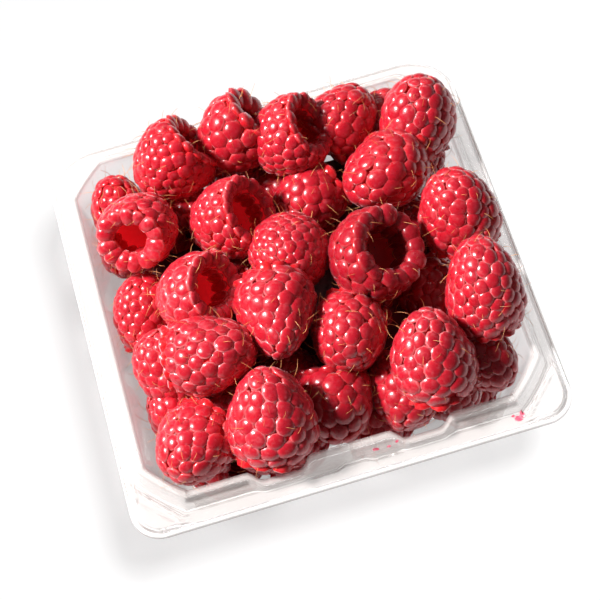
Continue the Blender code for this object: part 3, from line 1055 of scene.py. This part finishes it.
@dataclass
class BerryMaker:
    """Sets drupelets row by row on a cup and turns the berry to its place.

    The pitch and height of a drupelet are shares of its size, and its half length and half
    width are shares of the pitch, so that neighbours meet without a gap.
    """

    punnet: Punnet
    form: tuple[np.ndarray, Faces]
    cup: tuple[np.ndarray, Faces, np.ndarray]
    pitch: float = 0.90
    long: float = 0.75
    wide: float = 0.72
    high: float = 0.43
    pushes: int = 14

    def settings(self, berry: Berry, rng: np.random.Generator) -> list[Setting]:
        """Lay out the rows of drupelets from the tip to inside the lip."""
        d = berry.drupelet
        profile = BerryProfile(berry.length, berry.width, d)
        middles, outward = profile.path()
        steps = np.linalg.norm(np.diff(middles, axis=0), axis=1)
        run = np.concatenate([[0.0], np.cumsum(steps)])
        ring_area = np.concatenate([[0.0], np.cumsum(steps * (middles[1:, 0] + middles[:-1, 0]))])
        ring_area *= math.pi
        pitch = self.pitch * d
        count = round(ring_area[-1] / (pitch ** 2 * HEXAGON_SHARE))
        phase = rng.uniform(0, 2 * math.pi)
        sense = rng.choice((-1, 1))
        index = np.arange(count)
        here = np.interp(ring_area[-1] * (index + 0.45) / count, ring_area, run)
        here = here + rng.uniform(-0.22, 0.22, count) * d
        turn = phase + sense * index * math.radians(GOLDEN_ANGLE)
        turn = turn + rng.uniform(-0.12, 0.12, len(turn))
        here, turn = self.spread(here, turn, pitch, run, middles)
        found: list[Setting] = []
        for place, angle in zip(here, turn):
            r, z, out_r, out_z = follow(np.column_stack([middles, outward]), run, place)
            size = (0.88 + 0.12 * min(1.0, place / (2.0 * d))) * rng.uniform(0.88, 1.12)
            found.append(self.setting(r, z, out_r, out_z, angle, self.long * pitch * size,
                                      self.wide * pitch * size, self.high * d * size, rng))
        found += self.lip_rows(berry, phase, rng)
        return found

    def spread(self, here: np.ndarray, turn: np.ndarray, pitch: float, run: np.ndarray,
               middles: np.ndarray) -> tuple[np.ndarray, np.ndarray]:
        """Push drupelets apart until they sit evenly but in no straight rows.

        Args:
            here: How far along the path each one lies.
            turn: Its turn about the berry's axis, in radians.
            pitch: The distance at which two of them stop pushing.
            run: Distances along the path.
            middles: Radius and height along the path.

        Returns:
            The new distances and turns.
        """
        for _ in range(self.pushes):
            r, z = follow(middles, run, here)
            places = np.column_stack([r * np.cos(turn), r * np.sin(turn), z])
            gaps = places[:, None] - places[None]
            apart = np.linalg.norm(gaps, axis=2) + np.eye(len(here)) * 1e3
            push = np.clip(1 - apart / (1.08 * pitch), 0, None) / apart
            shove = (gaps * push[:, :, None]).sum(axis=1) * 0.5 * pitch
            ahead_r, ahead_z = follow(middles, run, here + 0.2)
            slope_r, slope_z = ahead_r - r, ahead_z - z
            steep = np.hypot(slope_r, slope_z) + 1e-6
            radial = shove[:, 0] * np.cos(turn) + shove[:, 1] * np.sin(turn)
            around = -shove[:, 0] * np.sin(turn) + shove[:, 1] * np.cos(turn)
            here = np.clip(here + (radial * slope_r + shove[:, 2] * slope_z) / steep, 0, run[-1])
            turn = turn + around / np.maximum(r, 0.3 * pitch)
        return here, turn

    def lip_rows(self, berry: Berry, phase: float, rng: np.random.Generator) -> list[Setting]:
        """The long drupelets that roll over the lip, and the low flutes in line with them inside.

        Each row is given by its radius and height, the way it faces in degrees, how long and
        how high it is in drupelets, and how much neighbours overlap.
        """
        d = berry.drupelet
        half_width, half_length = berry.width / 2, berry.length / 2
        lip = 0.65 * half_width + berry.gape * d
        rows = ((lip, -0.75 * half_length, -105, 0.84 - berry.gape, 0.58, 0.82),
                (0.585 * half_width, -0.40 * half_length, -178, 0.95, 0.28, 0.62))
        count = round(2 * math.pi * lip / (0.84 * d))
        found: list[Setting] = []
        for k in range(count):
            turn = phase + 2 * math.pi * (k + rng.uniform(-0.12, 0.12)) / count
            size = rng.uniform(0.86, 1.12)
            for r, z, degrees, half_along, half_out, overlap in rows:
                angle = math.radians(degrees)
                found.append(self.setting(r, z, math.cos(angle), math.sin(angle), turn,
                                          half_along * d * size, 2 * math.pi * r / count * overlap,
                                          half_out * d * size, rng))
        return found

    @staticmethod
    def setting(r: float, z: float, out_r: float, out_z: float, turn: float, half_along: float,
                half_around: float, half_out: float, rng: np.random.Generator) -> Setting:
        """Place one drupelet at a turn about the axis, leaning a little at random."""
        radial = np.array((math.cos(turn), math.sin(turn), 0.0))
        around = np.array((-math.sin(turn), math.cos(turn), 0.0))
        outward = radial * out_r + np.array((0.0, 0.0, out_z))
        outward += around * rng.uniform(-0.10, 0.10)
        outward /= np.linalg.norm(outward)
        around -= outward * np.dot(around, outward)
        around /= np.linalg.norm(around)
        along = np.cross(outward, around)
        middle = radial * r + np.array((0.0, 0.0, z))
        return Setting(middle, outward, along, around, half_along, half_around, half_out)

    def turned(self, berry: Berry, points: np.ndarray) -> np.ndarray:
        """Turn a berry's own points to their place in the heap, in millimetres."""
        heading, rise = math.radians(berry.heading), math.radians(berry.rise)
        tip = Vector((math.cos(heading) * math.cos(rise), math.sin(heading) * math.cos(rise),
                      math.sin(rise)))
        turn = np.array(tip.to_track_quat("Z", "Y").to_matrix())
        return points @ turn.T + np.array((berry.x, berry.y, berry.z))

    def make(self, berry: Berry, rng: np.random.Generator) -> "BerryParts":
        """Build one berry's points, faces and skin values.

        Args:
            berry: The berry to build.
            rng: The random draws that make it uneven.

        Returns:
            The parts of its mesh.
        """
        settings = self.settings(berry, rng)
        unit, unit_faces = self.form
        count = len(unit)
        frames = np.array([[s.along * s.half_along, s.around * s.half_around, s.outward * s.half_out]
                           for s in settings])
        middles = np.array([s.middle for s in settings])
        points = (unit @ frames) + middles[:, None, :]
        # How high each point sits on its dome, 0 in the creases; the skin paints its glowing crease red
        # and its pale rim sheen by this.
        height = np.clip((unit[:, 2] - 0.55) / 0.45, 0, 1)
        tones = rng.uniform(0, 1, len(settings))
        skin = np.zeros((len(settings), count, 4))
        skin[:, :, 0] = height
        skin[:, :, 1] = tones[:, None]
        skin[:, :, 2] = np.clip(berry.ripeness + rng.normal(0, 0.06, len(settings)), 0, 1)[:, None]
        skin[:, :, 3] = berry.bloom
        faces = [tuple(corner + i * count for corner in face)
                 for i in range(len(settings)) for face in unit_faces]
        points = points.reshape(-1, 3)
        skin = skin.reshape(-1, 4)
        cup_points, cup_faces, depth = self.cup
        start = len(points)
        scaled = cup_points * np.array((berry.width, berry.width, berry.length))
        cup_skin = np.zeros((len(scaled), 4))
        # Inside the hollow: how near the lip each point lies, which sets where the flesh's painted
        # emission fades.
        cup_skin[:, 0] = np.where(depth > 0, depth, 0.5)
        cup_skin[:, 2] = berry.ripeness
        points = self.uneven(berry, np.concatenate([points, scaled]), rng)
        placed = self.punnet.hold(self.turned(berry, points))
        tops = self.turned(berry, np.array([s.middle + s.outward * s.half_out * 0.9
                                            for s in settings]))
        all_faces = faces + [tuple(corner + start for corner in face) for face in cup_faces]
        kinds = np.zeros(len(all_faces), int)
        kinds[len(faces):] = 1
        turn = self.turned(berry, np.array([s.outward for s in settings])) - np.array(
            (berry.x, berry.y, berry.z))
        return BerryParts(placed, all_faces, np.concatenate([skin, cup_skin]), kinds, tops, turn)

    def uneven(self, berry: Berry, points: np.ndarray, rng: np.random.Generator) -> np.ndarray:
        """Squash and bend a berry a little, so that no two are alike."""
        turn = rng.uniform(0, math.pi)
        squash = rng.uniform(0.90, 1.0)
        bend = rng.uniform(-0.008, 0.008)
        lobes = 1 + 0.03 * np.sin(2 * np.arctan2(points[:, 1], points[:, 0]) + 6 * turn
                                  + points[:, 2] * 0.15)
        up = np.maximum(points[:, 2] / berry.length, -0.2)
        lobes = lobes * (1 + berry.taper * (0.10 - 0.45 * up))
        points = points * np.column_stack([lobes, lobes, np.ones_like(lobes)])
        c, s = math.cos(turn), math.sin(turn)
        u = points[:, 0] * c + points[:, 1] * s
        v = (-points[:, 0] * s + points[:, 1] * c) * squash
        u = u + bend * (points[:, 2] ** 2 - (berry.length / 4) ** 2)
        return np.column_stack([u * c - v * s, u * s + v * c, points[:, 2]])


@dataclass
class BerryParts:
    """The raw mesh of one berry, and the places where hairs may grow."""

    points: np.ndarray
    faces: Faces
    skin: np.ndarray
    kinds: np.ndarray
    tops: np.ndarray
    outward: np.ndarray


@dataclass
class Heap:
    """All the raspberries: upper layers, lower layers, a dark core of painted shade between them, and
    hairs.
    """

    punnet: Punnet
    seed: int = 7
    row_pitch: float = 24.5
    floor_z: float = 12.5
    fill_z: tuple[float, ...] = (25.0, 34.0)
    clear_of_upper: float = 14.5
    clear_of_lower: float = 16.0
    hairs_a_berry: int = 48
    painted_shade_size: tuple[float, float, float] = (76.0, 72.0, 26.0)
    painted_shade_middle: tuple[float, float, float] = (0.0, 1.0, 18.0)

    def lower_berries(self) -> list[Berry]:
        """Berries of the floor layer and those that fill the layer above it."""
        rng = np.random.default_rng(self.seed)
        found: list[Berry] = []
        offsets = (-1.5, -0.5, 0.5, 1.5)
        for layer, z in enumerate((self.floor_z, *self.fill_z)):
            for row in offsets:
                for column in offsets:
                    x = column * self.row_pitch + rng.uniform(-1.5, 1.5)
                    y = row * (self.row_pitch - 0.5) + rng.uniform(-1.5, 1.5)
                    width = rng.uniform(18, 21)
                    berry = Berry(x, y, z + rng.uniform(-1, 1), width + rng.uniform(1, 3), width,
                                  rng.uniform(-180, 180), rng.uniform(-30, 30), rng.uniform(3.7, 4.4),
                                  rng.uniform(0.1, 0.5), rng.uniform(0.1, 0.6))
                    if layer == 0 or self.has_room(berry, UPPER_BERRIES, self.clear_of_upper):
                        if layer < 2 or self.has_room(berry, found, self.clear_of_lower):
                            found.append(berry)
        return found

    @staticmethod
    def has_room(berry: Berry, others: Iterable[Berry], apart: float) -> bool:
        """True if no other berry has its middle nearer than a distance in millimetres."""
        here = np.array((berry.x, berry.y, berry.z))
        return all(np.linalg.norm(here - np.array((other.x, other.y, other.z))) > apart
                   for other in others)

    def build(self) -> None:
        """Build every piece of fruit and dress it."""
        skin, flesh = BerrySkin().make(), BerryFlesh().make()
        fine = BerryMaker(self.punnet, DrupeletForm().model(), CupForm().model())
        plain = BerryMaker(self.punnet, DrupeletForm(8, 6).model(), CupForm(20).model())
        rng = np.random.default_rng(self.seed)
        groups = {
            "berries_back": (fine, UPPER_BERRIES[:12]),
            "berries_middle": (fine, UPPER_BERRIES[12:24]),
            "berries_front": (fine, UPPER_BERRIES[24:]),
            "berries_lower": (plain, self.lower_berries()),
        }
        hairs = HairBed(rng)
        for name, (maker, berries) in groups.items():
            made = [maker.make(berry, rng) for berry in berries]
            piece = self.join(name, made)
            piece.data.materials.append(skin)
            dress(piece, flesh, "raspberries")
            if maker is fine:
                for parts in made:
                    hairs.grow(parts, self.hairs_a_berry)
        dress(hairs.build(), DryHair().make(), "raspberries")
        dress(self.painted_shade(), PaintedHeapShade().make(), "raspberries")

    @staticmethod
    def join(name: str, made: list[BerryParts]) -> bpy.types.Object:
        """Join raw berries into one mesh object with its skin attribute."""
        starts = np.cumsum([0] + [len(parts.points) for parts in made[:-1]])
        faces = [tuple(corner + int(start) for corner in face)
                 for start, parts in zip(starts, made) for face in parts.faces]
        obj = laid_out(name, np.concatenate([parts.points for parts in made]), faces)
        kinds = np.concatenate([parts.kinds for parts in made])
        obj.data.polygons.foreach_set("material_index", kinds)
        skin = obj.data.color_attributes.new("skin", "FLOAT_COLOR", "POINT")
        skin.data.foreach_set("color", np.concatenate([parts.skin for parts in made]).ravel())
        return obj

    def painted_shade(self) -> bpy.types.Object:
        """A smaller lumpy core of painted shade between the berries, which closes the view through the
        heap.
        """
        deselect()
        bpy.ops.mesh.primitive_cube_add(size=1.0, location=(0, 0, 0))
        obj = named("berry_painted_shade")
        bpy.ops.object.mode_set(mode="EDIT")
        bpy.ops.transform.resize(value=[side * MM for side in self.painted_shade_size])
        bpy.ops.transform.translate(value=[side * MM for side in self.painted_shade_middle])
        bpy.ops.mesh.subdivide(number_cuts=11, smoothness=0.0)
        bpy.ops.object.mode_set(mode="OBJECT")
        points = read_points(obj.data) / MM
        wave = (np.sin(points[:, 0] * 0.35) * np.sin(points[:, 1] * 0.33) * 1.6
                + np.sin(points[:, 0] * 0.9 + 1.0) * np.cos(points[:, 1] * 0.8) * 0.7)
        out = points - np.array(self.painted_shade_middle)
        out /= np.maximum(np.linalg.norm(out, axis=1), 1e-6)[:, None]
        write_points(obj.data, (points + out * wave[:, None]) * MM)
        smooth_shaded(obj)
        return obj


@dataclass
class HairBed:
    """Thin curved hairs, the dried styles that stay on a raspberry."""

    rng: np.random.Generator
    thickness: float = 0.14
    shortest: float = 2.2
    longest: float = 4.6
    rings: int = 6
    sides: int = 3
    points: list[np.ndarray] = field(default_factory=list)
    along: list[np.ndarray] = field(default_factory=list)
    faces: Faces = field(default_factory=list)

    def grow(self, parts: BerryParts, count: int) -> None:
        """Grow a few hairs from drupelets of one berry, picked at random."""
        for pick in self.rng.choice(len(parts.tops), count, replace=False):
            self.hair(parts.tops[pick], parts.outward[pick])

    def hair(self, root: np.ndarray, outward: np.ndarray) -> None:
        """Add one hair that leaves a drupelet and curls over."""
        length = self.rng.uniform(self.shortest, self.longest)
        lean = self.rng.normal(size=3)
        lean -= outward * np.dot(lean, outward)
        lean /= np.linalg.norm(lean)
        first = outward + lean * self.rng.uniform(0.3, 1.0)
        first /= np.linalg.norm(first)
        side = np.cross(first, outward + 0.3 * lean)
        side /= max(np.linalg.norm(side), 1e-6)
        curl = self.rng.uniform(0.5, 1.7)
        start = sum(len(block) for block in self.points)
        place = root - first * 0.3
        rows = []
        for ring in range(self.rings):
            t = ring / (self.rings - 1)
            angle = curl * t
            way = first * math.cos(angle) + lean * math.sin(angle)
            half = self.thickness / 2 * (1.0 - 0.55 * t)
            up = np.cross(side, way)
            for corner in range(self.sides):
                turn = 2 * math.pi * corner / self.sides
                rows.append(place + (side * math.cos(turn) + up * math.sin(turn)) * half)
            place = place + way * length / (self.rings - 1)
        self.points.append(np.array(rows))
        self.along.append(np.repeat(np.linspace(0, 1, self.rings), self.sides))
        for ring in range(self.rings - 1):
            for corner in range(self.sides):
                a = start + ring * self.sides + corner
                b = start + ring * self.sides + (corner + 1) % self.sides
                self.faces.append((a, b, b + self.sides, a + self.sides))
        last = start + (self.rings - 1) * self.sides
        self.faces.append(tuple(start + corner for corner in reversed(range(self.sides))))
        self.faces.append(tuple(last + corner for corner in range(self.sides)))

    def build(self) -> bpy.types.Object:
        """Join the hairs into one piece."""
        obj = laid_out("berry_hairs", np.concatenate(self.points), self.faces)
        along = obj.data.attributes.new("along", "FLOAT", "POINT")
        along.data.foreach_set("value", np.concatenate(self.along))
        return obj


# ---------------------------------------------------------------------------
# Studio
# ---------------------------------------------------------------------------

class Reach(Enum):
    """Which pieces a lamp lights: one piece only, or all but that one."""

    ONLY = "INCLUDE"
    ALL_BUT = "EXCLUDE"


@dataclass
class Studio:
    """Plain pale floor, soft daylight from the left and a long lens from above.

    Angles are in degrees, the distance and shifts in millimetres.  The wash is how much of
    the floor's white is its own: it grows to all of it from wash_near to wash_far, in metres.
    """

    azimuth: float = -6.7
    elevation: float = 66.4
    roll: float = -10.1
    distance: float = 417.4
    shift_right: float = 0.3
    shift_up: float = -4.8
    lens: float = 90.0
    wash: float = 0.57
    wash_near: float = 0.15
    wash_far: float = 0.5
    floor_colour: str = "#F6F6F6"
    surround: float = 0.08

    def floor(self) -> bpy.types.Object:
        """A white floor that stays white to the camera and keeps the object's shadow."""
        deselect()
        bpy.ops.mesh.primitive_plane_add(size=6.0, location=(0, 0, 0))
        plane = named("studio_floor")
        finish = Finish("white_floor")
        finish.set({"Base Color": linear(self.floor_colour), "Roughness": 0.9})
        path = finish.add("ShaderNodeLightPath")
        shine = finish.add("ShaderNodeEmission", {"Strength": 1.0})
        away = finish.add("ShaderNodeVectorMath", {"operation": "LENGTH"}, {0: finish.place()})
        wash = finish.ranged(away.outputs["Value"], self.wash, 1.0, self.wash_near, self.wash_far)
        share = finish.add("ShaderNodeMath", {"operation": "MULTIPLY"},
                           {0: path.outputs["Is Camera Ray"], 1: wash})
        blend = finish.add("ShaderNodeMixShader", links={
            0: share.outputs[0], 1: finish.shader.outputs[0], 2: shine.outputs[0]})
        finish.wire(finish.tree.nodes["Material Output"], {"Surface": blend.outputs[0]})
        plane.data.materials.append(finish.material)
        return plane

    def camera(self) -> None:
        """Place the camera by its angles about the middle of the flange."""
        azimuth, elevation, roll = (math.radians(v) for v in (self.azimuth, self.elevation, self.roll))
        back = Vector((math.sin(azimuth) * math.cos(elevation), -math.cos(azimuth) * math.cos(elevation),
                       math.sin(elevation)))
        right = Vector((math.cos(azimuth), math.sin(azimuth), 0.0))
        up = back.cross(right)
        turned_right = right * math.cos(roll) + up * math.sin(roll)
        turned_up = up * math.cos(roll) - right * math.sin(roll)
        middle = Vector((0.0, 0.0, Punnet().flange_z * MM))
        eye = middle + (turned_right * self.shift_right + turned_up * self.shift_up
                        + back * self.distance) * MM
        data = bpy.data.cameras.new("camera")
        data.lens = self.lens
        data.sensor_width = 36.0
        data.clip_start = 0.01
        camera = add_object("camera", data)
        matrix = Matrix((turned_right, turned_up, back)).transposed().to_4x4()
        matrix.translation = eye
        camera.matrix_world = matrix
        bpy.context.scene.camera = camera

    def lamp(self, name: str, place: tuple[float, float, float], size: tuple[float, float],
             watts: float) -> bpy.types.Object:
        """A lamp of a width and a height in metres, aimed at the heap."""
        data = bpy.data.lights.new(name, "AREA")
        data.shape = "RECTANGLE"
        data.size, data.size_y = size
        data.energy = watts
        lamp = add_object(name, data)
        lamp.location = place
        aim = Vector((0.0, 0.0, 0.03)) - Vector(place)
        lamp.rotation_euler = aim.to_track_quat("-Z", "Y").to_euler()
        return lamp

    def limit(self, lamp: bpy.types.Object, reach: Reach, piece: bpy.types.Object) -> None:
        """Let a lamp light only one piece, or all but that piece."""
        group = bpy.data.collections.new(f"{lamp.name}_receivers")
        group.objects.link(piece)
        lamp.light_linking.receiver_collection = group
        group.collection_objects[0].light_linking.link_state = reach.value

    def light(self, floor: bpy.types.Object, sheet: bpy.types.Object) -> None:
        """Light the heap with a soft key from the upper left and a thin strip behind.

        The sheet has a low fill in front, the floor a lamp from above, and all of it stands
        in a white surround that lights it faintly.

        Args:
            floor: The studio floor, which has a lamp of its own.
            sheet: The punnet, whose front gets a soft fill.
        """
        key = self.lamp("key", (-0.75, 0.28, 0.85), (0.20, 0.20), 31.5)
        strip = self.lamp("strip", (0.15, 0.9, 0.75), (0.9, 0.06), 1.6)
        fill = self.lamp("fill", (0.10, -0.85, 0.75), (0.9, 0.2), 7.0)
        floor_light = self.lamp("floor_light", (0.30, -0.12, 1.2), (0.26, 0.26), 18.0)
        self.limit(key, Reach.ALL_BUT, floor)
        self.limit(strip, Reach.ALL_BUT, floor)
        self.limit(fill, Reach.ONLY, sheet)
        self.limit(floor_light, Reach.ONLY, floor)
        world = bpy.data.worlds.new("surround")
        world.use_nodes = True
        nodes = Nodes(world.node_tree)
        shade = nodes.tree.nodes["Background"]
        shade.inputs["Color"].default_value = (1.0, 1.0, 1.0, 1.0)
        path = nodes.add("ShaderNodeLightPath")
        strength = nodes.ranged(path.outputs["Is Camera Ray"], self.surround, 1.0)
        nodes.wire(shade, {"Strength": strength})
        bpy.context.scene.world = world
        bpy.context.scene.view_settings.view_transform = "Standard"


def main() -> None:
    """Build the studio, the punnet and the fruit, and report each piece."""
    logging.basicConfig(level=logging.INFO, format="%(name)s %(message)s")
    punnet = Punnet()
    sheet = punnet.build()
    studio = Studio()
    studio.camera()
    studio.light(studio.floor(), sheet)
    stains = JuiceStains(sheet).build()
    dress(sheet, ClearPlastic().make(), "punnet")
    dress(stains, Juice().make(), "punnet")
    Heap(punnet).build()


if __name__ == "__main__":
    main()
